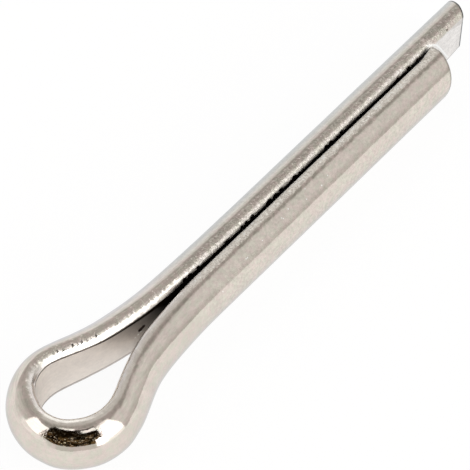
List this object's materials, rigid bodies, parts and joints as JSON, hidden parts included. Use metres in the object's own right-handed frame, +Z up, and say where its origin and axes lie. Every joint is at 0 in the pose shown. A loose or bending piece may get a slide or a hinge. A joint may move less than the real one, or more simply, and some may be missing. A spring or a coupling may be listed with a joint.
{
  "type": "split cotter pin",
  "caption": "Split cotter pin: half-round wire folded into a round eye and two straight legs lying flat to flat, one leg longer, ends sheared at a slope.",
  "frame": {"origin": "on the shank's axis where the two legs have closed behind the eye", "axes": "+X along the shank from the eye to the tips, +Y towards the long leg, +Z up, normal to the eye's loop"},
  "size_m": [0.0343, 0.007, 0.0034],
  "materials": {
    "wire": "bright drawn stainless wire, smooth with a faint mottle"
  },
  "bodies": {
    "root": {"split_pin": "wire"}
  },
  "joints": []
}
